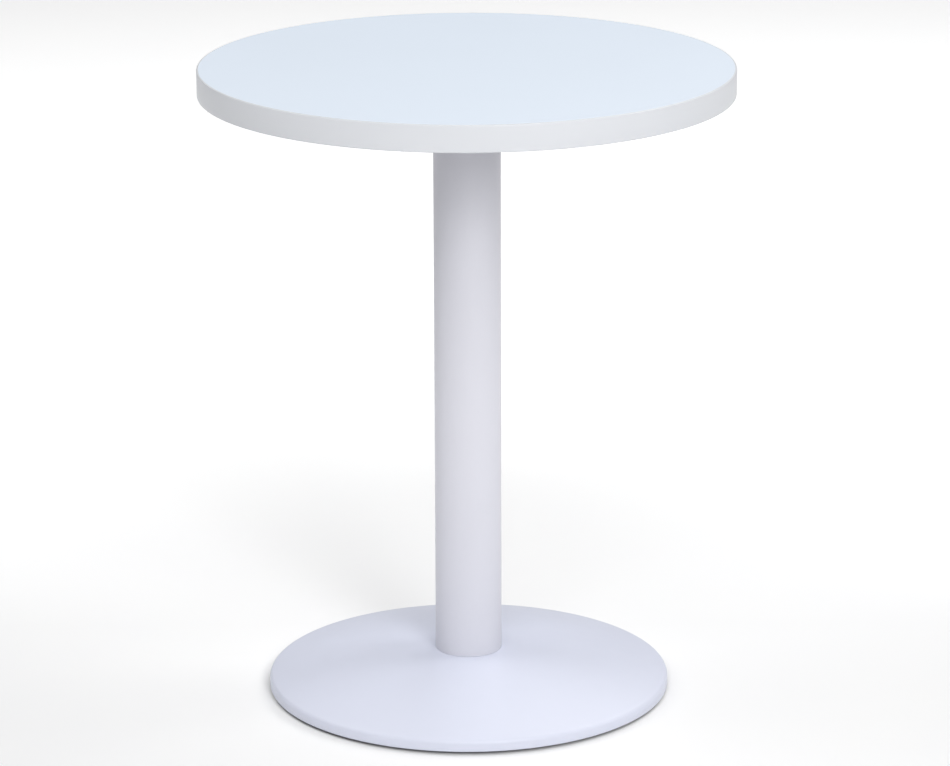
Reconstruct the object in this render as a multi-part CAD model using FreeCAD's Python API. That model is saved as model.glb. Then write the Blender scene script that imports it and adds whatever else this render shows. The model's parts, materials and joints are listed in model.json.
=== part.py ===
"""A round bistro table: a laminated top on a steel column, standing on a domed, weighted disc base.

The frame is millimetres with +Z up. The origin is on the floor, on the table's axis. Each
function builds one sub-part in its assembled place, and main() writes one STEP per sub-part.
"""

import FreeCAD, Part
import math
import os

V = FreeCAD.Vector
AXIS = V(0, 0, 1)
ORIGIN = V(0, 0, 0)

# Driving dimensions
TABLE_HEIGHT = 730.0
TOP_DIAMETER = 600.0
TOP_THICKNESS = 30.0
COLUMN_DIAMETER = 76.0
BASE_DIAMETER = 460.0

# Table top: a particleboard core, a laminate on each face and a band round the edge
LAMINATE = 0.8
BAND_THICKNESS = 2.0
BAND_EDGE_RADIUS = 1.5
GLUE_LINE = 0.05
BAND_SEAM = 0.3

# Column and tie rod
COLUMN_WALL = 1.5
COLUMN_CHAMFER = 0.8
SPIGOT_CLEARANCE = 0.2
ROD_RADIUS = 5.0
ROD_HOLE_RADIUS = 5.5
ROD_CHAMFER = 1.0
THREAD_CLEARANCE = 0.05

# Spider under the top
SPIDER_DEPTH = 24.0
HUB_RADIUS = 44.0
HUB_WALL = 4.0
SPIGOT_LENGTH = 12.0
SPIGOT_WALL = 3.8
ARM_REACH = 140.0
ARM_WIDTH = 34.0
ARM_WEB = 4.0
ARM_RIB = 4.0
ARM_TIP_DEPTH = 9.0
ARM_COUNT = 4
SPIDER_SCREW_REACH = (78.0, 120.0)

# Wood screws through the spider
SCREW_RADIUS = 2.4
SCREW_LENGTH = 22.0
SCREW_POINT = 4.0
SCREW_HEAD_RADIUS = 4.8
SCREW_HEAD_HEIGHT = 3.4
SCREW_DOME_MIDDLE = (3.2, 0.6)
SCREW_HEAD_WALL = 1.2
PILOT_RADIUS = 2.5
SPIDER_HOLE_RADIUS = 2.8
RECESS_SPAN = 5.2
RECESS_WIDTH = 1.2
RECESS_DEPTH = 2.2
RECESS_MOUTH_RADIUS = 3.2
RECESS_END_RADIUS = 1.6
PILOT_EXTRA_DEPTH = 1.0

# Domed base cover
COVER_SHEET = 1.5
COVER_GAP = 4.0
SEAT_HEIGHT = 45.5
SEAT_RADIUS = 40.0
SEAT_HOLE_RADIUS = 30.0
DOME_RADIUS = 890.0
RIM_RADIUS = 5.0

# Ballast plate inside the cover
BALLAST_RADIUS = 220.0
BALLAST_BOTTOM = 9.0
BALLAST_THICKNESS = 7.5
BALLAST_CHAMFER = 1.5
BOSS_TOP_RADIUS = 38.0
BOSS_FOOT_RADIUS = 52.0
POCKET_RADIUS = 25.0
POCKET_TOP = 24.0

# Column locator
LOCATOR_HEIGHT = 10.0
LOCATOR_CHAMFER = 1.5

# Nuts and washers on the tie rod. A nut's end faces are round, and a little narrower than its flats.
HEX_SIDES = 6
HEX_FACE_SHARE = 0.96
HEX_BEVEL_ANGLE = 30.0
ROD_NUT_FLATS = 17.0
ROD_NUT_HEIGHT = 8.0
TOP_WASHER_RADIUS = 15.0
TOP_WASHER_THICKNESS = 2.5
PLATE_WASHER_RADIUS = 22.0
PLATE_WASHER_THICKNESS = 3.0
SPRING_WASHER_RADIUS = 9.0
SPRING_WASHER_THICKNESS = 2.6
SPRING_WASHER_SPLIT = 1.0
SPRING_WASHER_SLANT = 20.0
ROD_END_ABOVE_NUT = 3.5

# Levelling glides
GLIDE_COUNT = 5
GLIDE_CIRCLE_RADIUS = 200.0
GLIDE_FIRST_ANGLE = -90.0
PAD_RADIUS = 16.0
PAD_HEIGHT = 5.6
PAD_FLOOR = 2.2
PAD_EDGE_RADIUS = 1.2
PAD_LIP_RADIUS = 4.4
PAD_LIP_HEIGHT = 0.9
STUD_RADIUS = 3.95
STUD_HOLE_RADIUS = 4.0
STUD_FOOT_RADIUS = 7.0
STUD_FOOT_HEIGHT = 2.0
STUD_PLAY = 0.2
STUD_COLLAR_FLATS = 14.0
STUD_COLLAR_HEIGHT = 2.8
STUD_COLLAR_GAP = 0.1
STUD_TOP = 19.5
STUD_CHAMFER = 0.8

# How far a cutting shape runs past what it cuts
OVERRUN = 1.0

# Derived places
UNDERSIDE = TABLE_HEIGHT - TOP_THICKNESS
HUB_BOTTOM = UNDERSIDE - SPIDER_DEPTH
HUB_FLOOR_TOP = HUB_BOTTOM + HUB_WALL
COLUMN_RADIUS = COLUMN_DIAMETER / 2
COLUMN_BORE = COLUMN_RADIUS - COLUMN_WALL
SPIGOT_RADIUS = COLUMN_BORE - SPIGOT_CLEARANCE
BAND_INNER_RADIUS = TOP_DIAMETER / 2 - BAND_THICKNESS
CORE_RADIUS = BAND_INNER_RADIUS - GLUE_LINE
BASE_RADIUS = BASE_DIAMETER / 2
DOME_CENTRE_HEIGHT = SEAT_HEIGHT - math.sqrt(DOME_RADIUS**2 - SEAT_RADIUS**2)
BALLAST_TOP = BALLAST_BOTTOM + BALLAST_THICKNESS
BOSS_TOP = SEAT_HEIGHT - COVER_SHEET
SPRING_WASHER_TOP = POCKET_TOP - PLATE_WASHER_THICKNESS
BOTTOM_NUT_TOP = SPRING_WASHER_TOP - SPRING_WASHER_THICKNESS
BOTTOM_NUT_BOTTOM = BOTTOM_NUT_TOP - ROD_NUT_HEIGHT
TOP_NUT_BOTTOM = HUB_FLOOR_TOP + TOP_WASHER_THICKNESS
TOP_NUT_TOP = TOP_NUT_BOTTOM + ROD_NUT_HEIGHT
ROD_BOTTOM = BOTTOM_NUT_BOTTOM - ROD_END_ABOVE_NUT
ROD_TOP = TOP_NUT_TOP + ROD_END_ABOVE_NUT


def at(radius, height):
    """A point of a profile: radius along +X, height along +Z."""
    return V(radius, 0, height)


def revolved(*steps):
    """The solid swept round the table's axis by a closed profile.

    Each step is a point, reached by a straight edge, or a pair (middle, end), reached by an arc.
    """
    start = steps[0]
    edges = []
    here = start
    for step in steps[1:]:
        if isinstance(step, tuple):
            middle, end = step
            edges.append(Part.Arc(here, middle, end).toShape())
        else:
            end = step
            edges.append(Part.LineSegment(here, end).toShape())
        here = end
    edges.append(Part.LineSegment(here, start).toShape())
    return Part.Face(Part.Wire(edges)).revolve(ORIGIN, AXIS, 360)


def ring(inner, outer, bottom, top):
    return revolved(at(inner, bottom), at(outer, bottom), at(outer, top), at(inner, top))


def cylinder(radius, bottom, top, x=0.0, y=0.0):
    return Part.makeCylinder(radius, top - bottom, V(x, y, bottom))


def arc_point(centre_radius, centre_height, radius, angle):
    """The point at an angle, in degrees above the horizontal, on an arc of a profile."""
    turn = math.radians(angle)
    return at(centre_radius + radius * math.cos(turn), centre_height + radius * math.sin(turn))


def turned(shape, angle):
    """A copy of the shape, turned about the table's axis."""
    copy = shape.copy()
    copy.rotate(ORIGIN, AXIS, angle)
    return copy


def hexagon(flats, bottom, top):
    """A hexagonal prism on the axis whose corners are bevelled, as on a pressed nut."""
    corner = flats / math.sqrt(3)
    points = []
    for side in range(HEX_SIDES):
        turn = math.radians(360 / HEX_SIDES * side)
        points.append(V(corner * math.cos(turn), corner * math.sin(turn), bottom))
    prism = Part.Face(Part.makePolygon(points + points[:1])).extrude(V(0, 0, top - bottom))
    bevel = corner - HEX_FACE_SHARE * flats / 2
    drop = bevel * math.tan(math.radians(HEX_BEVEL_ANGLE))
    envelope = revolved(
        at(0, bottom),
        at(corner - bevel, bottom),
        at(corner, bottom + drop),
        at(corner, top - drop),
        at(corner - bevel, top),
        at(0, top),
    )
    return prism.common(envelope)


def screw_places():
    """Where the spider's screws stand, as (x, y)."""
    places = []
    for arm in range(ARM_COUNT):
        turn = math.radians(360 / ARM_COUNT * arm)
        for reach in SPIDER_SCREW_REACH:
            places.append((reach * math.cos(turn), reach * math.sin(turn)))
    return places


def glide_places():
    """Where the levelling glides stand, as (x, y)."""
    places = []
    for glide in range(GLIDE_COUNT):
        turn = math.radians(GLIDE_FIRST_ANGLE + 360 / GLIDE_COUNT * glide)
        places.append((GLIDE_CIRCLE_RADIUS * math.cos(turn), GLIDE_CIRCLE_RADIUS * math.sin(turn)))
    return places


# Table top


def top_laminate():
    return cylinder(CORE_RADIUS, TABLE_HEIGHT - LAMINATE, TABLE_HEIGHT)


def tabletop_core():
    """The particleboard disc, with a blind pilot hole for each screw."""
    core = cylinder(CORE_RADIUS, UNDERSIDE + LAMINATE, TABLE_HEIGHT - LAMINATE)
    hole_top = UNDERSIDE - ARM_WEB + SCREW_LENGTH + PILOT_EXTRA_DEPTH
    holes = [cylinder(PILOT_RADIUS, UNDERSIDE, hole_top, x, y) for x, y in screw_places()]
    return core.cut(holes)


def backing_laminate():
    sheet = cylinder(CORE_RADIUS, UNDERSIDE, UNDERSIDE + LAMINATE)
    low = UNDERSIDE - OVERRUN
    high = UNDERSIDE + LAMINATE + OVERRUN
    return sheet.cut([cylinder(PILOT_RADIUS, low, high, x, y) for x, y in screw_places()])


def edge_band():
    """The edging strip, with both outer edges rounded and its two ends butted at the back."""
    outer = TOP_DIAMETER / 2
    inner = BAND_INNER_RADIUS
    soft = BAND_EDGE_RADIUS
    low = UNDERSIDE
    high = TABLE_HEIGHT
    band = revolved(
        at(inner, low),
        at(outer - soft, low),
        (arc_point(outer - soft, low + soft, soft, -45), at(outer, low + soft)),
        at(outer, high - soft),
        (arc_point(outer - soft, high - soft, soft, 45), at(outer - soft, high)),
        at(inner, high),
    )
    corner = V(-BAND_SEAM / 2, inner - OVERRUN, low - OVERRUN)
    seam = Part.makeBox(BAND_SEAM, 2 * BAND_THICKNESS, TOP_THICKNESS + 2 * OVERRUN, corner)
    return band.cut(seam)


# Spider and its screws


def spider_hub():
    """The cup that the tie rod's nut sits in, with the ring that plugs into the column."""
    bore = ROD_HOLE_RADIUS
    cup = HUB_RADIUS - HUB_WALL
    ring_bottom = HUB_BOTTOM - SPIGOT_LENGTH
    return revolved(
        at(bore, HUB_BOTTOM),
        at(SPIGOT_RADIUS - SPIGOT_WALL, HUB_BOTTOM),
        at(SPIGOT_RADIUS - SPIGOT_WALL, ring_bottom),
        at(SPIGOT_RADIUS - COLUMN_CHAMFER, ring_bottom),
        at(SPIGOT_RADIUS, ring_bottom + COLUMN_CHAMFER),
        at(SPIGOT_RADIUS, HUB_BOTTOM),
        at(HUB_RADIUS, HUB_BOTTOM),
        at(HUB_RADIUS, UNDERSIDE),
        at(cup, UNDERSIDE),
        at(cup, HUB_FLOOR_TOP),
        at(bore, HUB_FLOOR_TOP),
    )


def spider_arm():
    """One arm along +X: a flat web under the top, with a tapering rib along each side."""
    start = HUB_RADIUS - HUB_WALL / 2
    half = ARM_WIDTH / 2
    tip_centre = ARM_REACH - half
    web = Part.makeBox(tip_centre - start, ARM_WIDTH, ARM_WEB, V(start, -half, UNDERSIDE - ARM_WEB))
    tip = cylinder(half, UNDERSIDE - ARM_WEB, UNDERSIDE, tip_centre)
    tip_bottom = UNDERSIDE - ARM_TIP_DEPTH
    side = Part.makePolygon(
        [
            at(start, HUB_BOTTOM),
            at(tip_centre, tip_bottom),
            at(tip_centre, UNDERSIDE),
            at(start, UNDERSIDE),
            at(start, HUB_BOTTOM),
        ]
    )
    rib = Part.Face(side).extrude(V(0, ARM_RIB, 0))
    left = rib.translated(V(0, half - ARM_RIB, 0))
    right = rib.translated(V(0, -half, 0))
    nose = cylinder(half, tip_bottom, UNDERSIDE, tip_centre)
    nose = nose.cut(cylinder(half - ARM_RIB, tip_bottom - OVERRUN, UNDERSIDE + OVERRUN, tip_centre))
    outer_half = Part.makeBox(ARM_WIDTH, ARM_WIDTH, SPIDER_DEPTH, V(tip_centre, -half, HUB_BOTTOM))
    nose = nose.common(outer_half)
    return web.fuse([tip, left, right, nose])


def top_spider():
    """The cast spider: the hub cup with its arms, and a hole for each screw."""
    arm = spider_arm()
    arms = [turned(arm, 360 / ARM_COUNT * number) for number in range(ARM_COUNT)]
    spider = spider_hub().fuse(arms)
    high = UNDERSIDE + OVERRUN
    inside = cylinder(HUB_RADIUS - HUB_WALL, HUB_FLOOR_TOP, high)
    holes = [cylinder(SPIDER_HOLE_RADIUS, HUB_BOTTOM, high, x, y) for x, y in screw_places()]
    return spider.cut([inside] + holes).removeSplitter()


def wood_screw():
    """A pan-head wood screw on the axis, pointing up, with a cross recess in its head."""
    seat = UNDERSIDE - ARM_WEB
    head_bottom = seat - SCREW_HEAD_HEIGHT
    tip = seat + SCREW_LENGTH
    dome_radius, dome_rise = SCREW_DOME_MIDDLE
    dome_middle = at(dome_radius, head_bottom + dome_rise)
    body = revolved(
        at(0, head_bottom),
        (dome_middle, at(SCREW_HEAD_RADIUS, seat - SCREW_HEAD_WALL)),
        at(SCREW_HEAD_RADIUS, seat),
        at(SCREW_RADIUS, seat),
        at(SCREW_RADIUS, tip - SCREW_POINT),
        at(0, tip),
    )
    mouth = head_bottom - OVERRUN
    depth = RECESS_DEPTH + OVERRUN
    corner = V(-RECESS_SPAN / 2, -RECESS_WIDTH / 2, mouth)
    slot = Part.makeBox(RECESS_SPAN, RECESS_WIDTH, depth, corner)
    taper = Part.makeCone(RECESS_MOUTH_RADIUS, RECESS_END_RADIUS, depth, V(0, 0, mouth))
    cross = slot.fuse(turned(slot, 90)).common(taper)
    return body.cut(cross)


def spider_screws():
    screw = wood_screw()
    return Part.makeCompound([screw.translated(V(x, y, 0)) for x, y in screw_places()])


# Column, tie rod and their fastenings


def column_tube():
    bottom = SEAT_HEIGHT
    top = HUB_BOTTOM
    outer = COLUMN_RADIUS
    return revolved(
        at(COLUMN_BORE, bottom),
        at(outer - COLUMN_CHAMFER, bottom),
        at(outer, bottom + COLUMN_CHAMFER),
        at(outer, top - COLUMN_CHAMFER),
        at(outer - COLUMN_CHAMFER, top),
        at(COLUMN_BORE, top),
    )


def tie_rod():
    narrow = ROD_RADIUS - ROD_CHAMFER
    return revolved(
        at(0, ROD_BOTTOM),
        at(narrow, ROD_BOTTOM),
        at(ROD_RADIUS, ROD_BOTTOM + ROD_CHAMFER),
        at(ROD_RADIUS, ROD_TOP - ROD_CHAMFER),
        at(narrow, ROD_TOP),
        at(0, ROD_TOP),
    )


def rod_nut(bottom):
    top = bottom + ROD_NUT_HEIGHT
    bore = cylinder(ROD_RADIUS + THREAD_CLEARANCE, bottom - OVERRUN, top + OVERRUN)
    return hexagon(ROD_NUT_FLATS, bottom, top).cut(bore)


def top_rod_nut():
    return rod_nut(TOP_NUT_BOTTOM)


def top_rod_washer():
    return ring(ROD_HOLE_RADIUS, TOP_WASHER_RADIUS, HUB_FLOOR_TOP, TOP_NUT_BOTTOM)


def bottom_rod_nut():
    return rod_nut(BOTTOM_NUT_BOTTOM)


def bottom_plate_washer():
    return ring(ROD_HOLE_RADIUS, PLATE_WASHER_RADIUS, SPRING_WASHER_TOP, POCKET_TOP)


def bottom_spring_washer():
    """A flattened spring washer, split across its section."""
    washer = ring(ROD_RADIUS + SPIGOT_CLEARANCE, SPRING_WASHER_RADIUS, BOTTOM_NUT_TOP, SPRING_WASHER_TOP)
    split = Part.makeBox(
        SPRING_WASHER_SPLIT,
        2 * SPRING_WASHER_RADIUS,
        3 * SPRING_WASHER_THICKNESS,
        V(-SPRING_WASHER_SPLIT / 2, 0, BOTTOM_NUT_TOP - SPRING_WASHER_THICKNESS),
    )
    middle = V(0, SPRING_WASHER_RADIUS, (BOTTOM_NUT_TOP + SPRING_WASHER_TOP) / 2)
    split.rotate(middle, V(0, 1, 0), SPRING_WASHER_SLANT)
    return washer.cut(split)


def column_locator():
    """The stepped disc that centres the column's foot on the cover's hole."""
    top = SEAT_HEIGHT + LOCATOR_HEIGHT
    neck = SEAT_HOLE_RADIUS - SPIGOT_CLEARANCE
    return revolved(
        at(ROD_HOLE_RADIUS, BOSS_TOP),
        at(neck, BOSS_TOP),
        at(neck, SEAT_HEIGHT),
        at(SPIGOT_RADIUS, SEAT_HEIGHT),
        at(SPIGOT_RADIUS, top - LOCATOR_CHAMFER),
        at(SPIGOT_RADIUS - LOCATOR_CHAMFER, top),
        at(ROD_HOLE_RADIUS, top),
    )


# Base


def cover_skin(inset):
    """The points that shape one skin of the cover, inset from its outer face.

    They are the dome's start and middle, the point where the dome meets the rim's arc, the middle
    of that arc, and the top of the rim's straight wall. The dome is part of a sphere.
    """
    dome = DOME_RADIUS - inset
    rim = RIM_RADIUS - inset
    rim_centre_radius = BASE_RADIUS - RIM_RADIUS
    lift = math.sqrt((DOME_RADIUS - RIM_RADIUS) ** 2 - rim_centre_radius**2)
    rim_centre_height = DOME_CENTRE_HEIGHT + lift
    meeting = math.degrees(math.atan2(lift, rim_centre_radius))
    start = math.degrees(math.acos(SEAT_RADIUS / DOME_RADIUS))
    return (
        arc_point(0, DOME_CENTRE_HEIGHT, dome, start),
        arc_point(0, DOME_CENTRE_HEIGHT, dome, (start + meeting) / 2),
        arc_point(rim_centre_radius, rim_centre_height, rim, meeting),
        arc_point(rim_centre_radius, rim_centre_height, rim, meeting / 2),
        at(rim_centre_radius + rim, rim_centre_height),
    )


def base_cover():
    """The pressed steel cover: a flat seat for the column, a dome, and a turned-down rim."""
    start, dome, join, rim, wall = cover_skin(0)
    in_start, in_dome, in_join, in_rim, in_wall = cover_skin(COVER_SHEET)
    half = COVER_SHEET / 2
    edge_middle = at(BASE_RADIUS - half, COVER_GAP)
    return revolved(
        at(SEAT_HOLE_RADIUS, SEAT_HEIGHT),
        start,
        (dome, join),
        (rim, wall),
        at(BASE_RADIUS, COVER_GAP + half),
        (edge_middle, at(BASE_RADIUS - COVER_SHEET, COVER_GAP + half)),
        in_wall,
        (in_rim, in_join),
        (in_dome, in_start),
        at(SEAT_HOLE_RADIUS, BOSS_TOP),
    )


def ballast_plate():
    """The cast iron weight, with a boss under the column, a nut pocket and the glides' holes."""
    edge = BALLAST_CHAMFER
    plate = revolved(
        at(POCKET_RADIUS, BALLAST_BOTTOM),
        at(BALLAST_RADIUS - edge, BALLAST_BOTTOM),
        at(BALLAST_RADIUS, BALLAST_BOTTOM + edge),
        at(BALLAST_RADIUS, BALLAST_TOP - edge),
        at(BALLAST_RADIUS - edge, BALLAST_TOP),
        at(BOSS_FOOT_RADIUS, BALLAST_TOP),
        at(BOSS_TOP_RADIUS, BOSS_TOP),
        at(ROD_HOLE_RADIUS, BOSS_TOP),
        at(ROD_HOLE_RADIUS, POCKET_TOP),
        at(POCKET_RADIUS, POCKET_TOP),
    )
    low = BALLAST_BOTTOM - OVERRUN
    high = BALLAST_TOP + OVERRUN
    return plate.cut([cylinder(STUD_HOLE_RADIUS, low, high, x, y) for x, y in glide_places()])


# Levelling glides


def glide_pad():
    """The nylon foot on the axis, hollowed for the stud's foot, which its lip holds in."""
    soft = PAD_EDGE_RADIUS
    socket_radius = STUD_FOOT_RADIUS + STUD_PLAY
    return revolved(
        at(0, 0),
        at(PAD_RADIUS - soft, 0),
        (arc_point(PAD_RADIUS - soft, soft, soft, -45), at(PAD_RADIUS, soft)),
        at(PAD_RADIUS, PAD_HEIGHT - soft),
        (arc_point(PAD_RADIUS - soft, PAD_HEIGHT - soft, soft, 45), at(PAD_RADIUS - soft, PAD_HEIGHT)),
        at(PAD_LIP_RADIUS, PAD_HEIGHT),
        at(PAD_LIP_RADIUS, PAD_HEIGHT - PAD_LIP_HEIGHT),
        at(socket_radius, PAD_HEIGHT - PAD_LIP_HEIGHT),
        at(socket_radius, PAD_FLOOR),
        at(0, PAD_FLOOR),
    )


def glide_stud():
    """The threaded stud on the axis: a round foot, a hexagonal collar and the shank."""
    foot_bottom = PAD_FLOOR + STUD_PLAY
    foot_top = foot_bottom + STUD_FOOT_HEIGHT
    collar_top = BALLAST_BOTTOM - STUD_COLLAR_GAP
    collar_bottom = collar_top - STUD_COLLAR_HEIGHT
    spindle = revolved(
        at(0, foot_bottom),
        at(STUD_FOOT_RADIUS, foot_bottom),
        at(STUD_FOOT_RADIUS, foot_top),
        at(STUD_RADIUS, foot_top),
        at(STUD_RADIUS, STUD_TOP - STUD_CHAMFER),
        at(STUD_RADIUS - STUD_CHAMFER, STUD_TOP),
        at(0, STUD_TOP),
    )
    return spindle.fuse(hexagon(STUD_COLLAR_FLATS, collar_bottom, collar_top)).removeSplitter()


def glides():
    """Every glide's pad and stud, by node name."""
    pad = glide_pad()
    stud = glide_stud()
    made = {}
    for number, (x, y) in enumerate(glide_places(), start=1):
        made[f"glide_pad_{number}"] = pad.translated(V(x, y, 0))
        made[f"glide_stud_{number}"] = stud.translated(V(x, y, 0))
    return made


def main():
    singles = (
        top_laminate,
        tabletop_core,
        backing_laminate,
        edge_band,
        top_spider,
        spider_screws,
        column_tube,
        tie_rod,
        top_rod_nut,
        top_rod_washer,
        bottom_rod_nut,
        bottom_plate_washer,
        bottom_spring_washer,
        column_locator,
        base_cover,
        ballast_plate,
    )
    nodes = {build.__name__: build() for build in singles}
    nodes.update(glides())
    os.makedirs("parts", exist_ok=True)
    for name, shape in nodes.items():
        shape.exportStep(f"parts/{name}.step")
        print(f"{name}: {len(shape.Solids)} solid(s), {shape.Volume / 1000:.2f} cm3, valid {shape.isValid()}")


main()
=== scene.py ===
"""The looks of the round bistro table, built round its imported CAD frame. Lengths are in metres."""

import json
import math

import bmesh
import bpy
from mathutils import Matrix, Vector

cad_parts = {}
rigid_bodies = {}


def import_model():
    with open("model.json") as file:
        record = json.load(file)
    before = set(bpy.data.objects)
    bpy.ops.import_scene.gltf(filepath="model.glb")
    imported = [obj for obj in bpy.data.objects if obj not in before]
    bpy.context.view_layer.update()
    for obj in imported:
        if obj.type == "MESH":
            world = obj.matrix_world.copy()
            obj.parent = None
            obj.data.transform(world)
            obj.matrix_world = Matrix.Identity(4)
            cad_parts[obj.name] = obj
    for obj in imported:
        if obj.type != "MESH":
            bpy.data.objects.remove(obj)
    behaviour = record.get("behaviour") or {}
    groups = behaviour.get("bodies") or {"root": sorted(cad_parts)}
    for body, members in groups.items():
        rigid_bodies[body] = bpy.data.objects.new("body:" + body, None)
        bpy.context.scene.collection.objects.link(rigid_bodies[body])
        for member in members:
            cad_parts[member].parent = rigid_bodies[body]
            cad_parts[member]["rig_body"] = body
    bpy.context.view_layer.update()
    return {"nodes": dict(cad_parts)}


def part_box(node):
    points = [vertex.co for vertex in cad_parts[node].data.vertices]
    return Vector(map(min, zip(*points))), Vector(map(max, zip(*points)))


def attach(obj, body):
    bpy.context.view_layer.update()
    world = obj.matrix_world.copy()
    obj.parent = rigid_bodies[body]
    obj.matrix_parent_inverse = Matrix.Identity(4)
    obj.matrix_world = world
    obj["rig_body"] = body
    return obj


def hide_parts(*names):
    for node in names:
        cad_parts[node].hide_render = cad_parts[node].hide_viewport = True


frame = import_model()

MM = 0.001
TAU = 2 * math.pi

# How finely the round pieces are turned
LARGE_STEPS = 288
SMALL_STEPS = 72
FILLET_STEPS = 5
DOME_STEPS = 40
RIM_STEPS = 2 * FILLET_STEPS
SHARP_ANGLE = math.radians(32)
NEARLY_STRAIGHT = math.radians(89)
BEVEL_STEPS = 2
ROUND_BEVEL = 0.5

# Lengths too small to matter: points this near each other merge, and a point this near the axis is on it
MERGE_DISTANCE = 1e-7
SHORTEST_EDGE = 1e-8
ON_AXIS = 1e-9

# Thicknesses and roundings that the frame's boxes don't give
COVER_SHEET = 1.5 * MM
RIM_RADIUS = 5 * MM
SEAT_RADIUS = 40 * MM
SEAT_HOLE_RADIUS = 30 * MM
DOME_RADIUS = 890 * MM
COLUMN_WALL = 1.5 * MM
BAND_THICKNESS = 2 * MM
BAND_EDGE_RADIUS = 1.5 * MM
BAND_SEAM = 0.3 * MM
BREAK_EDGE = 0.25 * MM

# The edge band's seam is at the back, towards +Y
BAND_SEAM_BEARING = math.pi / 2

# The glides' own shapes. The pad's and the foot's heights are above their own lowest points, and the
# collar's are above the floor.
PAD_FLOOR = 2.2 * MM
PAD_EDGE_RADIUS = 1.2 * MM
PAD_TREAD = 4 * PAD_EDGE_RADIUS
PAD_TREAD_SLOPE = PAD_EDGE_RADIUS
PAD_LIP_RADIUS = 4.4 * MM
PAD_LIP_HEIGHT = 0.9 * MM
PAD_SOCKET_RADIUS = 7.2 * MM
PAD_DISH = 0.4 * MM
STUD_FOOT_RADIUS = 7 * MM
STUD_FOOT_HEIGHT = 2 * MM
STUD_NECK_RADIUS = 3.95 * MM
COLLAR_BOTTOM = 6.1 * MM
COLLAR_TOP = 8.9 * MM
COLLAR_CORNERS = 16.1 * MM
COLLAR_SIDES = 6

# Wood screws: a domed pan head with a cross recess, two to each arm of the spider
SCREW_HEAD_RADIUS = 4.8 * MM
SCREW_HEAD_HEIGHT = 3.4 * MM
SCREW_FACE_RADIUS = 0.7 * SCREW_HEAD_RADIUS
SCREW_FACE_ROUNDING = 0.3 * SCREW_HEAD_HEIGHT
SCREW_SHOULDER_HEIGHT = 0.45 * SCREW_HEAD_HEIGHT
SCREW_SHOULDER_ROUNDING = 0.2 * SCREW_HEAD_HEIGHT
RECESS_LENGTH = 1.05 * SCREW_HEAD_RADIUS
RECESS_WIDTH = 0.24 * SCREW_HEAD_RADIUS
SCREW_CREST = 2.4 * MM
SCREW_TIP = 5 * MM
SCREW_INNER_SHARE = 0.65
SPIDER_ARMS = 4

# The floor's own light, which keeps it white: faint under and before the table, stronger behind it and
# far off. Each rise gives the distances in metres at which that light starts and is full.
FLOOR_SIZE = 60
NEAR_GLOW = 0.04
BACK_GLOW = 0.45
BACK_GLOW_RISE = (0.2, 2.0)
FAR_GLOW = 0.4
FAR_GLOW_RISE = (3.0, 9.0)

# Colours, as linear red, green and blue. The pressed cover has the tube's paint, made a little bluer: that
# extra blue is painted cool sky light on its up-facing dome.
WHITE = (1.0, 1.0, 1.0)
TUBE_TINT = (0.68, 0.68, 0.74)
COVER_TINT_WITH_PAINTED_SKY_LIGHT = (0.665, 0.69, 0.80)
COAT_SPECK = (0.62, 0.62, 0.66)
COAT_EDGE = (0.66, 0.66, 0.70)
# The laminate's white and fleck carry a strong blue cast, which is painted cool sky light on the up-facing
# top over its own white.
LAMINATE_WHITE_WITH_PAINTED_SKY_LIGHT = (0.70, 0.77, 0.86)
LAMINATE_FLECK_WITH_PAINTED_SKY_LIGHT = (0.66, 0.70, 0.78)
BAND_WHITE = (0.625, 0.64, 0.67)
BAND_STREAK = (0.66, 0.66, 0.68)
BACKING_GREY = (0.36, 0.36, 0.355)
CHIP_DARK = (0.22, 0.13, 0.07)
CHIP_MIDDLE = (0.50, 0.36, 0.21)
CHIP_LIGHT = (0.68, 0.53, 0.34)
CHIP_GAP = (0.14, 0.09, 0.05)
IRON_DARK = (0.045, 0.045, 0.048)
IRON_LIGHT = (0.085, 0.083, 0.08)
IRON_RUST = (0.16, 0.07, 0.035)
ZINC_DARK = (0.50, 0.51, 0.53)
ZINC_LIGHT = (0.66, 0.67, 0.69)
ZINC_RUBBED = (0.74, 0.74, 0.75)
NYLON_DARK = (0.018, 0.018, 0.019)
NYLON_LIGHT = (0.032, 0.032, 0.034)
NYLON_RUBBED = (0.11, 0.11, 0.11)
FLOOR_DARK = (0.86, 0.86, 0.865)
FLOOR_LIGHT = (0.87, 0.87, 0.87)

# Between these a noise has most of its values
NOISE_LOW = 0.3
NOISE_HIGH = 0.7

# Light: each lamp's bearing and height angle in degrees, its width in metres and its watts. A bearing of
# 0 is the camera's side, and positive is towards +X.
SKY_STRENGTH = 0.15
LAMP_DISTANCE = 4.2
LAMP_TARGET = (0, 0, 0.4)
LAMPS = {
    "front": (20, 25, 1.4, 65),
    "overhead": (0, 45, 3.0, 70),
    "right": (100, 45, 2.0, 45),
    "behind right": (150, 45, 3.0, 50),
    "behind left": (-150, 45, 3.0, 15),
    "left": (-100, 45, 3.0, 55),
}

# Threads: pitch and depth, how sharply a ridge stands up, and a tip's width as a share of the crest's
STUD_THREAD = (1.25 * MM, 0.7 * MM)
ROD_THREAD = (1.5 * MM, 0.85 * MM)
SCREW_THREAD = (2.1 * MM, 0.75 * MM)
SCREW_SHARPNESS = 2.4
THREAD_TIP_SHARE = 0.02
THREAD_STEPS = 48
RINGS_PER_PITCH = 10
ROD_THREAD_LENGTH = 38 * MM

GLIDE_COUNT = sum(name.startswith("glide_pad_") for name in frame["nodes"])

# Camera, at the height and distance that give the table its perspective
CAMERA_PLACE = Vector((0.0082, -4.526, 1.6907))
CAMERA_PITCH = 0.2855
CAMERA_ROLL = -0.003
CAMERA_LENS = 157.4
SENSOR_WIDTH = 36
CAMERA_REACH = 50


# Profiles and meshes


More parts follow.
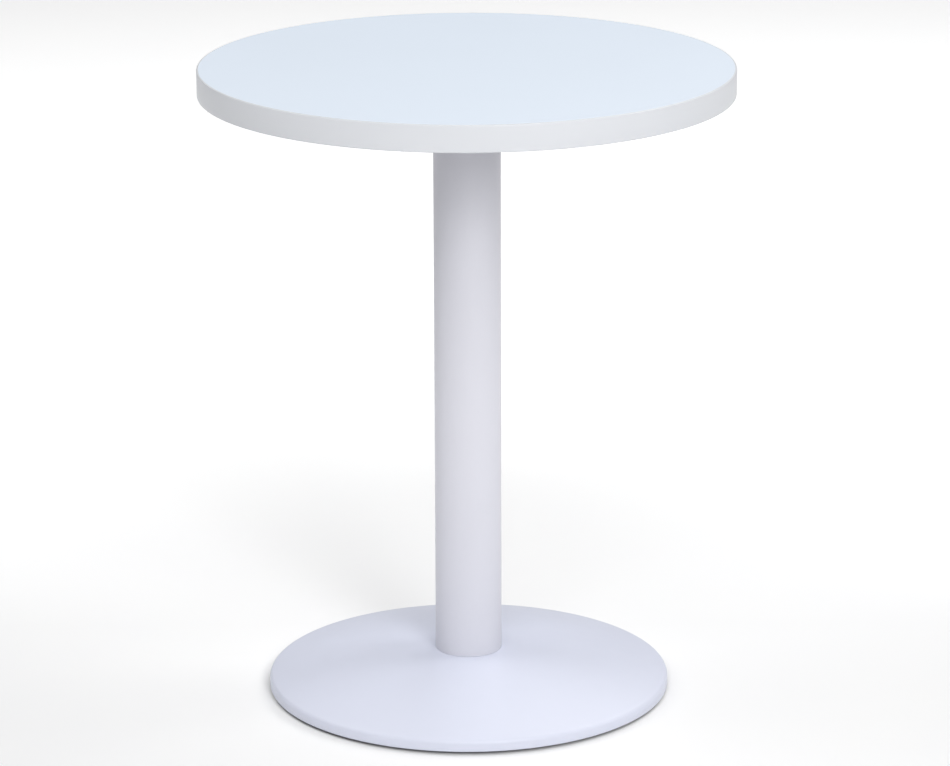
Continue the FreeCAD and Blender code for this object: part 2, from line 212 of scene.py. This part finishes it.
def fillet(before, corner, after, radius):
    """The points of an arc of that radius that rounds a corner between two straight runs."""
    to_before = (before - corner).normalized()
    to_after = (after - corner).normalized()
    half = to_before.angle(to_after) / 2
    if radius == 0 or half > NEARLY_STRAIGHT:
        return [corner]
    reach = radius / math.tan(half)
    start = corner + to_before * reach
    end = corner + to_after * reach
    centre = corner + (to_before + to_after).normalized() * (radius / math.sin(half))
    first = (start - centre).normalized()
    last = (end - centre).normalized()
    return [centre + first.slerp(last, step / FILLET_STEPS) * radius for step in range(FILLET_STEPS + 1)]


def rounded(corners):
    """A closed profile from (radius, height, rounding) corners, as 2-D vectors."""
    places = [Vector((r, z)) for r, z, _ in corners]
    points = []
    for index, (_, _, rounding) in enumerate(corners):
        before = places[index - 1]
        after = places[(index + 1) % len(places)]
        points.extend(fillet(before, places[index], after, rounding))
    return points


def disc(bottom, top, radius):
    """The profile of a plain disc or round bar."""
    return rounded([(0, bottom, 0), (radius, bottom, 0), (radius, top, 0), (0, top, 0)])


def smooth_object(name, bm):
    """An object made from bm, smooth but for its sharp edges."""
    mesh = bpy.data.meshes.new(name)
    bm.to_mesh(mesh)
    bm.free()
    mesh.shade_smooth()
    mesh.set_sharp_from_angle(angle=SHARP_ANGLE)
    made = bpy.data.objects.new(name, mesh)
    bpy.context.scene.collection.objects.link(made)
    return made


def finished(name, bm):
    """An object made from bm once its doubled points are merged and its faces look outwards."""
    bmesh.ops.remove_doubles(bm, verts=bm.verts, dist=MERGE_DISTANCE)
    bmesh.ops.recalc_face_normals(bm, faces=bm.faces)
    return smooth_object(name, bm)


def turned(name, profile, steps, centre=(0.0, 0.0), start=0.0, sweep=TAU):
    """The closed profile swept round a vertical line, with end caps if it doesn't close."""
    whole = math.isclose(sweep, TAU)
    count = steps if whole else steps + 1
    bm = bmesh.new()
    rings = []
    for step in range(count):
        turn = start + sweep * step / steps
        cos, sin = math.cos(turn), math.sin(turn)
        rings.append([bm.verts.new((centre[0] + p.x * cos, centre[1] + p.x * sin, p.y)) for p in profile])
    for step in range(steps):
        one, two = rings[step], rings[(step + 1) % count]
        for index in range(len(profile)):
            after = (index + 1) % len(profile)
            on_axis = max(profile[index].x, profile[after].x) < ON_AXIS
            if not on_axis:
                bm.faces.new((one[index], two[index], two[after], one[after]))
    if not whole:
        bm.faces.new(rings[0])
        bm.faces.new(rings[-1])
    bmesh.ops.dissolve_degenerate(bm, dist=SHORTEST_EDGE, edges=bm.edges)
    return finished(name, bm)


def node_span(node):
    """A node's bottom, top and largest radius about its own centre."""
    low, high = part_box(node)
    return low.z, high.z, max(high.x - low.x, high.y - low.y) / 2


def node_centre(node):
    """Where a node's vertical middle line stands, in X and Y."""
    low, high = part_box(node)
    return (low.x + high.x) / 2, (low.y + high.y) / 2


def threaded(bm, centre, bottom, top, crest, thread, sharpness=1.0, tip=0.0):
    """Adds a right-hand threaded shank to bm; tip is the length over which its top tapers off."""
    pitch, depth = thread
    rings = max(2, round((top - bottom) / pitch * RINGS_PER_PITCH))
    rows = []
    for ring in range(rings + 1):
        height = (top - bottom) * ring / rings
        from_top = top - bottom - height
        run_out = min(1.0, height / pitch, from_top / pitch)
        taper = min(1.0, from_top / tip) if tip else 1.0
        row = []
        for step in range(THREAD_STEPS):
            share = step / THREAD_STEPS
            phase = (height / pitch - share) % 1.0
            ridge = max(0.0, 1.0 - abs(2 * phase - 1) * sharpness)
            radius = (crest - depth * (1.0 - ridge * run_out)) * taper
            radius = max(radius, THREAD_TIP_SHARE * crest)
            turn = TAU * share
            x = centre[0] + radius * math.cos(turn)
            y = centre[1] + radius * math.sin(turn)
            row.append(bm.verts.new((x, y, bottom + height)))
        rows.append(row)
    for low, high in zip(rows, rows[1:]):
        for step in range(THREAD_STEPS):
            after = (step + 1) % THREAD_STEPS
            bm.faces.new((low[step], low[after], high[after], high[step]))
    bm.faces.new(rows[0])
    bm.faces.new(rows[-1])


def joined(name, pieces):
    """One object from several, which are removed."""
    bm = bmesh.new()
    for piece in pieces:
        bm.from_mesh(piece.data)
        bpy.data.objects.remove(piece)
    return smooth_object(name, bm)


def fitted(piece, node, material):
    """Puts a new piece in a CAD node's place, on the same body, and gives it the material passed in."""
    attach(piece, frame["nodes"][node]["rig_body"])
    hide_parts(node)
    piece.data.materials.append(material)


def kept(node, material):
    """Keeps a CAD node's own shape, and gives it a finished material."""
    piece = frame["nodes"][node]
    piece.data.materials.clear()
    piece.data.materials.append(material)
    return piece


def break_joined_edges(piece, width):
    """Bevels the sharp edges across which the mesh shares its points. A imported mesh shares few."""
    bevel = piece.modifiers.new("broken_edges", "BEVEL")
    bevel.width = width
    bevel.segments = BEVEL_STEPS
    bevel.limit_method = "ANGLE"
    bevel.angle_limit = SHARP_ANGLE
    bevel.harden_normals = True


# Materials


class Nodes:
    """A material's node tree, with short calls for the nodes that these finishes share."""

    def __init__(self, name):
        self.material = bpy.data.materials.new(name)
        self.material.use_nodes = True
        self.tree = self.material.node_tree
        self.shader = self.tree.nodes["Principled BSDF"]
        self.place = self.tree.nodes.new("ShaderNodeTexCoord").outputs["Object"]

    def link(self, source, target):
        self.tree.links.new(source, target)

    def noise(self, scale, detail=4.0, roughness=0.55, stretch=None):
        """Noise over the object's own coordinates, scale features to the metre."""
        place = self.place
        if stretch:
            mapping = self.tree.nodes.new("ShaderNodeMapping")
            mapping.inputs["Scale"].default_value = stretch
            self.link(place, mapping.inputs["Vector"])
            place = mapping.outputs["Vector"]
        node = self.tree.nodes.new("ShaderNodeTexNoise")
        node.inputs["Scale"].default_value = scale
        node.inputs["Detail"].default_value = detail
        node.inputs["Roughness"].default_value = roughness
        self.link(place, node.inputs["Vector"])
        return node.outputs["Fac"]

    def cells(self, scale, feature="F1", output="Distance"):
        """Cells like crystals or chips, scale of them to the metre."""
        node = self.tree.nodes.new("ShaderNodeTexVoronoi")
        node.feature = feature
        node.inputs["Scale"].default_value = scale
        self.link(self.place, node.inputs["Vector"])
        return node.outputs[output]

    def behind(self):
        """Metres behind the object's own origin, along +Y."""
        node = self.tree.nodes.new("ShaderNodeSeparateXYZ")
        self.link(self.place, node.inputs["Vector"])
        return node.outputs["Y"]

    def distance(self):
        """Metres from the object's own origin."""
        node = self.tree.nodes.new("ShaderNodeVectorMath")
        node.operation = "LENGTH"
        self.link(self.place, node.inputs[0])
        return node.outputs["Value"]

    def larger(self, one, two):
        """The larger of two values at each point."""
        node = self.tree.nodes.new("ShaderNodeMath")
        node.operation = "MAXIMUM"
        self.link(one, node.inputs[0])
        self.link(two, node.inputs[1])
        return node.outputs["Value"]

    def ramp(self, source, stops):
        """Colours along a 0 to 1 value: (position, (r, g, b)) stops."""
        node = self.tree.nodes.new("ShaderNodeValToRGB")
        elements = node.color_ramp.elements
        while len(elements) < len(stops):
            elements.new(stops[len(elements) - 1][0])
        for element, (position, colour) in zip(elements, stops):
            element.position = position
            element.color = (*colour, 1.0)
        self.link(source, node.inputs["Fac"])
        return node.outputs["Color"]

    def between(self, source, dark, light):
        """A noise's usual range, as colours from dark to light."""
        return self.ramp(source, [(NOISE_LOW, dark), (NOISE_HIGH, light)])

    def spread(self, source, low, high, from_low=NOISE_LOW, from_high=NOISE_HIGH):
        """A value's range from from_low to from_high, mapped on to low to high."""
        node = self.tree.nodes.new("ShaderNodeMapRange")
        node.inputs["From Min"].default_value = from_low
        node.inputs["From Max"].default_value = from_high
        node.inputs["To Min"].default_value = low
        node.inputs["To Max"].default_value = high
        self.link(source, node.inputs["Value"])
        return node.outputs["Result"]

    def mix(self, share, one, two):
        """Mixes two colours, each a socket or an (r, g, b), by a share socket."""
        node = self.tree.nodes.new("ShaderNodeMix")
        node.data_type = "RGBA"
        self.link(share, node.inputs["Factor"])
        for socket, colour in (("A", one), ("B", two)):
            target = next(s for s in node.inputs if s.name == socket and s.type == "RGBA")
            if isinstance(colour, tuple):
                target.default_value = (*colour, 1.0)
            else:
                self.link(colour, target)
        return next(s for s in node.outputs if s.type == "RGBA")

    def worn_edges(self, low=0.52, high=0.6):
        """1 on sharp convex edges and 0 on flats and hollows."""
        geometry = self.tree.nodes.new("ShaderNodeNewGeometry")
        return self.spread(geometry.outputs["Pointiness"], 0.0, 1.0, low, high)

    def bump(self, source, height, strength=1.0, under=None):
        """Raises the surface by height metres where the source is 1."""
        node = self.tree.nodes.new("ShaderNodeBump")
        node.inputs["Strength"].default_value = strength
        node.inputs["Distance"].default_value = height
        self.link(source, node.inputs["Height"])
        if under:
            self.link(under, node.inputs["Normal"])
        return node.outputs["Normal"]

    def constant(self, socket, value):
        """A value that is the same all over, set on the shader's own socket."""
        self.shader.inputs[socket].default_value = value

    def finish(self, colour, roughness, normal):
        """Joins what varies over the surface to the shader, and gives the finished material."""
        for source, socket in ((colour, "Base Color"), (roughness, "Roughness"), (normal, "Normal")):
            self.link(source, self.shader.inputs[socket])
        return self.material


def shades(colour, spread):
    """A darker and a lighter neighbour of a colour."""
    return tuple(c * (1 - spread) for c in colour), tuple(min(1.0, c * (1 + spread)) for c in colour)


def powder_coat(name, tint):
    """White powder coat: a satin skin with orange peel, a little thin and dull on its edges."""
    n = Nodes(name)
    clouds = n.between(n.noise(scale=7, detail=6), *shades(tint, spread=0.012))
    speck = n.spread(n.noise(scale=900, detail=2), low=0.0, high=0.05, from_low=0.55, from_high=0.8)
    edge = n.spread(n.worn_edges(), low=0.0, high=0.22, from_low=0.0, from_high=1.0)
    colour = n.mix(edge, n.mix(speck, clouds, COAT_SPECK), COAT_EDGE)
    roughness = n.spread(n.noise(scale=40, detail=5), low=0.40, high=0.50)
    peel = n.bump(n.noise(scale=420, detail=2, roughness=0.4), height=0.12 * MM, strength=0.35)
    grain = n.bump(n.noise(scale=1900, detail=2), height=0.02 * MM, strength=0.4, under=peel)
    n.constant("Specular IOR Level", 0.4)
    n.constant("Coat Weight", 0.08)
    n.constant("Coat Roughness", 0.25)
    return n.finish(colour, roughness, grain)


def white_laminate():
    """High-pressure laminate: white, with a blue cast of painted cool sky light on its up-facing face, and a
    fine crystalline texture pressed into it.
    """
    n = Nodes("white_laminate")
    clouds = n.between(n.noise(scale=5, detail=5), *shades(LAMINATE_WHITE_WITH_PAINTED_SKY_LIGHT, spread=0.006))
    fleck = n.spread(n.noise(scale=260, detail=3), low=0.0, high=0.04, from_low=0.5, from_high=0.8)
    colour = n.mix(fleck, clouds, LAMINATE_FLECK_WITH_PAINTED_SKY_LIGHT)
    lines = n.noise(scale=60, detail=3, stretch=(1.0, 9.0, 1.0))
    scuffs = n.spread(lines, low=0.0, high=1.0, from_low=0.66, from_high=0.74)
    roughness = n.spread(scuffs, low=0.42, high=0.5, from_low=0.0, from_high=1.0)
    crystals = n.bump(n.cells(scale=950), height=0.05 * MM, strength=0.35)
    grain = n.bump(n.noise(scale=2600, detail=2), height=0.02 * MM, strength=0.3, under=crystals)
    n.constant("Specular IOR Level", 0.35)
    return n.finish(colour, roughness, grain)


def edge_plastic():
    """ABS edging: a neutral white strip with a fine grain, scraped flush along both edges."""
    n = Nodes("edge_plastic")
    clouds = n.between(n.noise(scale=9, detail=5), *shades(BAND_WHITE, spread=0.008))
    drawn = n.noise(scale=300, detail=3, stretch=(0.2, 0.2, 3.0))
    colour = n.mix(n.spread(drawn, low=0.0, high=0.06), clouds, BAND_STREAK)
    roughness = n.spread(n.worn_edges(), low=0.42, high=0.55, from_low=0.0, from_high=1.0)
    streaks = n.bump(drawn, height=0.03 * MM, strength=0.3)
    grain = n.bump(n.noise(scale=1500, detail=2), height=0.03 * MM, strength=0.35, under=streaks)
    n.constant("Specular IOR Level", 0.4)
    return n.finish(colour, roughness, grain)


def backing_sheet():
    """The plain grey balancing laminate, duller than the face and faintly mottled."""
    n = Nodes("backing_sheet")
    colour = n.between(n.noise(scale=35, detail=6), *shades(BACKING_GREY, spread=0.025))
    roughness = n.spread(n.noise(scale=120, detail=4), low=0.55, high=0.68)
    return n.finish(colour, roughness, n.bump(n.noise(scale=700, detail=3), height=0.05 * MM, strength=0.4))


def particleboard():
    """Pressed wood chips of mixed colour, with dark gaps between them."""
    n = Nodes("particleboard")
    chips_per_metre = 260
    pick = n.spread(n.cells(chips_per_metre, output="Color"), low=0.0, high=1.0, from_low=0.0, from_high=1.0)
    chips = n.ramp(pick, [(0.0, CHIP_DARK), (0.5, CHIP_MIDDLE), (1.0, CHIP_LIGHT)])
    to_edge = n.cells(chips_per_metre, feature="DISTANCE_TO_EDGE")
    gap = n.spread(to_edge, low=1.0, high=0.0, from_low=0.0, from_high=0.08)
    fibre = n.noise(scale=1400, detail=4, stretch=(1.0, 0.25, 1.0))
    roughness = n.spread(fibre, low=0.78, high=0.95)
    return n.finish(n.mix(gap, chips, CHIP_GAP), roughness, n.bump(fibre, height=0.2 * MM, strength=0.5))


def raw_cast_iron():
    """Sand-cast iron under a thin dark primer, with a little rust in patches."""
    n = Nodes("raw_cast_iron")
    primer = n.between(n.noise(scale=30, detail=8), IRON_DARK, IRON_LIGHT)
    patches = n.noise(scale=75, detail=8, roughness=0.7)
    rust = n.spread(patches, low=0.0, high=0.55, from_low=0.58, from_high=0.72)
    roughness = n.spread(n.noise(scale=200, detail=5), low=0.62, high=0.85)
    sand = n.bump(n.noise(scale=650, detail=6, roughness=0.65), height=0.4 * MM, strength=0.6)
    n.constant("Metallic", 0.25)
    return n.finish(n.mix(rust, primer, IRON_RUST), roughness, sand)


def zinc_steel():
    """Bright zinc plate, clouded, with fine drawing marks and rubbed edges."""
    n = Nodes("zinc_steel")
    clouds = n.between(n.noise(scale=160, detail=6), ZINC_DARK, ZINC_LIGHT)
    roughness = n.spread(n.noise(scale=420, detail=5), low=0.26, high=0.42)
    marks = n.noise(scale=900, detail=3, stretch=(1.0, 1.0, 0.12))
    n.constant("Metallic", 1.0)
    colour = n.mix(n.worn_edges(), clouds, ZINC_RUBBED)
    return n.finish(colour, roughness, n.bump(marks, height=0.03 * MM, strength=0.35))


def black_nylon():
    """Moulded nylon: near black, spark-textured, and greyed along its edges by rubbing."""
    n = Nodes("black_nylon")
    clouds = n.between(n.noise(scale=90, detail=6), NYLON_DARK, NYLON_LIGHT)
    rubbed = n.spread(n.worn_edges(), low=0.0, high=0.5, from_low=0.0, from_high=1.0)
    roughness = n.spread(n.noise(scale=300, detail=4), low=0.45, high=0.62)
    grain = n.bump(n.noise(scale=1300, detail=3), height=0.06 * MM, strength=0.5)
    return n.finish(n.mix(rubbed, clouds, NYLON_RUBBED), roughness, grain)


def studio_floor():
    """The pale floor, whose own light grows behind the table and far from it."""
    n = Nodes("studio_floor")
    colour = n.between(n.noise(scale=3, detail=3), FLOOR_DARK, FLOOR_LIGHT)
    back = n.spread(n.behind(), NEAR_GLOW, BACK_GLOW, *BACK_GLOW_RISE)
    far = n.spread(n.distance(), 0, FAR_GLOW, *FAR_GLOW_RISE)
    n.link(n.larger(back, far), n.shader.inputs["Emission Strength"])
    n.constant("Emission Color", (*WHITE, 1.0))
    n.constant("Specular IOR Level", 0.1)
    roughness = n.spread(n.noise(scale=30), low=0.8, high=0.9)
    return n.finish(colour, roughness, n.bump(n.noise(scale=80), height=0.1 * MM, strength=0.1))


# Pieces


def sheet_piece(name, node, material):
    """One of the two laminates, a plain thin disc."""
    fitted(turned(name, disc(*node_span(node)), LARGE_STEPS), node, material)


def edge_band_piece(material):
    """The strip, rounded along both outer edges, with its butt seam at the back."""
    bottom, top, outer = node_span("edge_band")
    inner = outer - BAND_THICKNESS
    profile = rounded([
        (inner, bottom, 0),
        (outer, bottom, BAND_EDGE_RADIUS),
        (outer, top, BAND_EDGE_RADIUS),
        (inner, top, 0),
    ])
    gap = BAND_SEAM / outer
    start = BAND_SEAM_BEARING + gap / 2
    strip = turned("edge_strip", profile, LARGE_STEPS, start=start, sweep=TAU - gap)
    fitted(strip, "edge_band", material)


def column_piece(material):
    """The plain tube, with its cut ends broken."""
    bottom, top, outer = node_span("column_tube")
    inner = outer - COLUMN_WALL
    profile = rounded([
        (inner, bottom, BREAK_EDGE),
        (outer, bottom, 2 * BREAK_EDGE),
        (outer, top, 2 * BREAK_EDGE),
        (inner, top, BREAK_EDGE),
    ])
    fitted(turned("column_shell", profile, LARGE_STEPS // 2), "column_tube", material)


def cover_skin(seat, radius, inset):
    """One skin of the domed cover, from its seat's edge to the top of its rim's wall."""
    centre = seat - math.sqrt(DOME_RADIUS**2 - SEAT_RADIUS**2)
    rim_centre = radius - RIM_RADIUS
    lift = math.sqrt((DOME_RADIUS - RIM_RADIUS) ** 2 - rim_centre**2)
    meeting = math.atan2(lift, rim_centre)
    start = math.acos(SEAT_RADIUS / DOME_RADIUS)
    points = []
    reach = DOME_RADIUS - inset
    for step in range(DOME_STEPS + 1):
        turn = start + (meeting - start) * step / DOME_STEPS
        points.append(Vector((reach * math.cos(turn), centre + reach * math.sin(turn))))
    reach = RIM_RADIUS - inset
    for step in range(1, RIM_STEPS + 1):
        turn = meeting * (1 - step / RIM_STEPS)
        points.append(Vector((rim_centre + reach * math.cos(turn), centre + lift + reach * math.sin(turn))))
    return points


def cover_piece(material):
    """The pressed cover: seat, dome, rolled rim and its lower edge."""
    bottom, seat, radius = node_span("base_cover")
    outside = cover_skin(seat, radius, 0)
    inside = cover_skin(seat, radius, COVER_SHEET)
    half = COVER_SHEET / 2
    edge = []
    for step in range(RIM_STEPS + 1):
        turn = -math.pi * step / RIM_STEPS
        edge.append(Vector((radius - half + half * math.cos(turn), bottom + half + half * math.sin(turn))))
    mouth = [Vector((SEAT_HOLE_RADIUS, seat - COVER_SHEET)), Vector((SEAT_HOLE_RADIUS, seat))]
    fitted(turned("cover_shell", outside + edge + inside[::-1] + mouth, LARGE_STEPS), "base_cover", material)


def rod_piece(material):
    """The tie rod: a plain shank with a thread rolled on each end."""
    bottom, top, radius = node_span("tie_rod")
    bm = bmesh.new()
    threaded(bm, (0, 0), bottom, bottom + ROD_THREAD_LENGTH, radius, ROD_THREAD)
    threaded(bm, (0, 0), top - ROD_THREAD_LENGTH, top, radius, ROD_THREAD)
    ends = finished("rod_threads", bm)
    low = bottom + ROD_THREAD_LENGTH
    high = top - ROD_THREAD_LENGTH
    shank_radius = radius - ROD_THREAD[1] / 2
    shank = turned("rod_shank", disc(low, high, shank_radius), SMALL_STEPS)
    fitted(joined("threaded_rod", [ends, shank]), "tie_rod", material)


def hexagon(name, centre, bottom, top, across_corners):
    """A hexagonal collar whose edges are bevelled."""
    bm = bmesh.new()
    radius = across_corners / 2
    middle = Matrix.Translation((*centre, (bottom + top) / 2))
    bmesh.ops.create_cone(
        bm, cap_ends=True, segments=COLLAR_SIDES, radius1=radius, radius2=radius, depth=top - bottom,
        matrix=middle @ Matrix.Rotation(math.pi / COLLAR_SIDES, 4, "Z"),
    )
    bmesh.ops.bevel(
        bm, geom=list(bm.edges), offset=BREAK_EDGE, segments=BEVEL_STEPS, profile=ROUND_BEVEL, affect="EDGES"
    )
    return finished(name, bm)


def stud_piece(number, material):
    """A glide's stud: the foot that the pad holds, the hexagonal collar and the M8 thread."""
    node = f"glide_stud_{number}"
    centre = node_centre(node)
    bottom, top, _ = node_span(node)
    foot = rounded([
        (0, bottom, 0),
        (STUD_FOOT_RADIUS, bottom, BREAK_EDGE),
        (STUD_FOOT_RADIUS, bottom + STUD_FOOT_HEIGHT, BREAK_EDGE),
        (STUD_NECK_RADIUS, bottom + STUD_FOOT_HEIGHT, 0),
        (STUD_NECK_RADIUS, COLLAR_BOTTOM, 0),
        (0, COLLAR_BOTTOM, 0),
    ])
    base = turned(f"stud_foot_{number}", foot, SMALL_STEPS, centre=centre)
    collar = hexagon(f"stud_collar_{number}", centre, COLLAR_BOTTOM, COLLAR_TOP, COLLAR_CORNERS)
    bm = bmesh.new()
    threaded(bm, centre, COLLAR_TOP, top, STUD_NECK_RADIUS, STUD_THREAD)
    shank = finished(f"stud_thread_{number}", bm)
    fitted(joined(f"levelling_stud_{number}", [base, collar, shank]), node, material)


def pad_piece(number, material):
    """A glide's pad: a soft-edged foot with a raised lip that snaps over the stud."""
    node = f"glide_pad_{number}"
    centre = node_centre(node)
    bottom, top, radius = node_span(node)
    lip_bottom = top - PAD_LIP_HEIGHT
    profile = rounded([
        (0, bottom + PAD_DISH, 0),
        (radius - PAD_TREAD - PAD_TREAD_SLOPE, bottom + PAD_DISH, 0),
        (radius - PAD_TREAD, bottom, PAD_DISH / 2),
        (radius, bottom, PAD_EDGE_RADIUS),
        (radius, top, PAD_EDGE_RADIUS),
        (PAD_LIP_RADIUS, top, BREAK_EDGE),
        (PAD_LIP_RADIUS, lip_bottom, 0),
        (PAD_SOCKET_RADIUS, lip_bottom, 0),
        (PAD_SOCKET_RADIUS, bottom + PAD_FLOOR, 0),
        (0, bottom + PAD_FLOOR, 0),
    ])
    fitted(turned(f"levelling_pad_{number}", profile, SMALL_STEPS, centre=centre), node, material)


def screw_places():
    """Where the spider's screws stand, two along each of its four arms."""
    reach = node_span("spider_screws")[2] - SCREW_HEAD_RADIUS
    return [
        (share * reach * math.cos(TAU * arm / SPIDER_ARMS), share * reach * math.sin(TAU * arm / SPIDER_ARMS))
        for arm in range(SPIDER_ARMS)
        for share in (SCREW_INNER_SHARE, 1.0)
    ]


def recess_blade(centre, bottom, turn):
    """A flat bar across a screw's head, to cut one slot of its cross recess."""
    bm = bmesh.new()
    bmesh.ops.create_cube(bm, size=1.0)
    bmesh.ops.scale(bm, vec=(RECESS_LENGTH, RECESS_WIDTH, SCREW_HEAD_HEIGHT), verts=bm.verts)
    bmesh.ops.rotate(bm, cent=(0, 0, 0), matrix=Matrix.Rotation(turn, 3, "Z"), verts=bm.verts)
    bmesh.ops.translate(bm, vec=(*centre, bottom), verts=bm.verts)
    return finished("recess_blade", bm)


def carve(piece, blade):
    """Cuts the blade out of the piece and removes the blade."""
    cut = piece.modifiers.new("cut", "BOOLEAN")
    cut.operation = "DIFFERENCE"
    cut.object = blade
    bpy.context.view_layer.update()
    carved = bpy.data.meshes.new_from_object(piece.evaluated_get(bpy.context.evaluated_depsgraph_get()))
    piece.modifiers.clear()
    piece.data = carved
    bpy.data.objects.remove(blade)


def wood_screw(number, centre):
    """A pan-head screw, pointing up, with a cross recess and a coarse thread."""
    bottom, top, _ = node_span("spider_screws")
    seat = bottom + SCREW_HEAD_HEIGHT
    profile = rounded([
        (0, bottom, 0),
        (SCREW_FACE_RADIUS, bottom, SCREW_FACE_ROUNDING),
        (SCREW_HEAD_RADIUS, bottom + SCREW_SHOULDER_HEIGHT, SCREW_SHOULDER_ROUNDING),
        (SCREW_HEAD_RADIUS, seat, 0),
        (0, seat, 0),
    ])
    head = turned(f"screw_head_{number}", profile, SMALL_STEPS, centre=centre)
    bm = bmesh.new()
    threaded(bm, centre, seat, top, SCREW_CREST, SCREW_THREAD, sharpness=SCREW_SHARPNESS, tip=SCREW_TIP)
    shank = finished(f"screw_thread_{number}", bm)
    for turn in (0, math.pi / 2):
        carve(head, recess_blade(centre, bottom, turn))
    return [head, shank]


def screws_piece(material):
    """All the spider's screws, as the one piece that their node is."""
    pieces = []
    for number, centre in enumerate(screw_places(), start=1):
        pieces.extend(wood_screw(number, centre))
    fitted(joined("wood_screws", pieces), "spider_screws", material)


def build_table():
    """Every piece of the table, each on its own body."""
    tube_coat = powder_coat("white_powder_coat", TUBE_TINT)
    zinc = zinc_steel()
    nylon = black_nylon()
    # The laminate's blue cast is painted cool sky light from above.
    sheet_piece("laminate_face", "top_laminate", white_laminate())
    sheet_piece("backing_face", "backing_laminate", backing_sheet())
    edge_band_piece(edge_plastic())
    kept("tabletop_core", particleboard())
    column_piece(tube_coat)
    # The cover's extra blue is painted cool sky light on its up-facing dome, on the tube's own paint.
    cover_piece(powder_coat("cover_powder_coat_painted_sky_light", COVER_TINT_WITH_PAINTED_SKY_LIGHT))
    break_joined_edges(kept("top_spider", tube_coat), 3 * BREAK_EDGE)
    kept("ballast_plate", raw_cast_iron())
    rod_piece(zinc)
    screws_piece(zinc)
    for node in ("top_rod_nut", "top_rod_washer", "bottom_rod_nut", "bottom_plate_washer",
                 "bottom_spring_washer", "column_locator"):
        kept(node, zinc)
    for number in range(1, GLIDE_COUNT + 1):
        stud_piece(number, zinc)
        pad_piece(number, nylon)


# Studio


def lamp_place(bearing, height):
    """A point LAMP_DISTANCE from the target, at a bearing and height in degrees."""
    bearing = math.radians(bearing)
    height = math.radians(height)
    flat = LAMP_DISTANCE * math.cos(height)
    return Vector(LAMP_TARGET) + Vector(
        (flat * math.sin(bearing), -flat * math.cos(bearing), LAMP_DISTANCE * math.sin(height))
    )


def area_light(name, bearing, height, size, power):
    """A round lamp that faces the target."""
    data = bpy.data.lights.new(name, "AREA")
    data.shape = "DISK"
    data.size = size
    data.energy = power
    light = bpy.data.objects.new(name, data)
    light.location = lamp_place(bearing, height)
    light.rotation_euler = (Vector(LAMP_TARGET) - light.location).to_track_quat("-Z", "Y").to_euler()
    bpy.context.scene.collection.objects.link(light)


def studio():
    """A pale floor under a dim white sky, with wide soft lamps round the table."""
    bpy.ops.mesh.primitive_plane_add(size=FLOOR_SIZE)
    floor = bpy.context.object
    floor.name = "studio_floor"
    floor.data.materials.append(studio_floor())
    world = bpy.data.worlds.new("studio")
    bpy.context.scene.world = world
    world.use_nodes = True
    sky = world.node_tree.nodes["Background"]
    sky.inputs["Color"].default_value = (*WHITE, 1.0)
    sky.inputs["Strength"].default_value = SKY_STRENGTH
    for name, (bearing, height, size, power) in LAMPS.items():
        area_light(name, bearing, height, size, power)


def camera():
    """The camera, upright but for its small roll, looking down by its pitch."""
    data = bpy.data.cameras.new("camera")
    data.lens = CAMERA_LENS
    data.sensor_width = SENSOR_WIDTH
    data.clip_end = CAMERA_REACH
    eye = bpy.data.objects.new("camera", data)
    pitch = Matrix.Rotation(math.pi / 2 - CAMERA_PITCH, 4, "X")
    eye.matrix_world = Matrix.Translation(CAMERA_PLACE) @ pitch @ Matrix.Rotation(CAMERA_ROLL, 4, "Z")
    bpy.context.scene.collection.objects.link(eye)
    bpy.context.scene.camera = eye


build_table()
studio()
camera()
bpy.context.scene.view_settings.view_transform = "Standard"
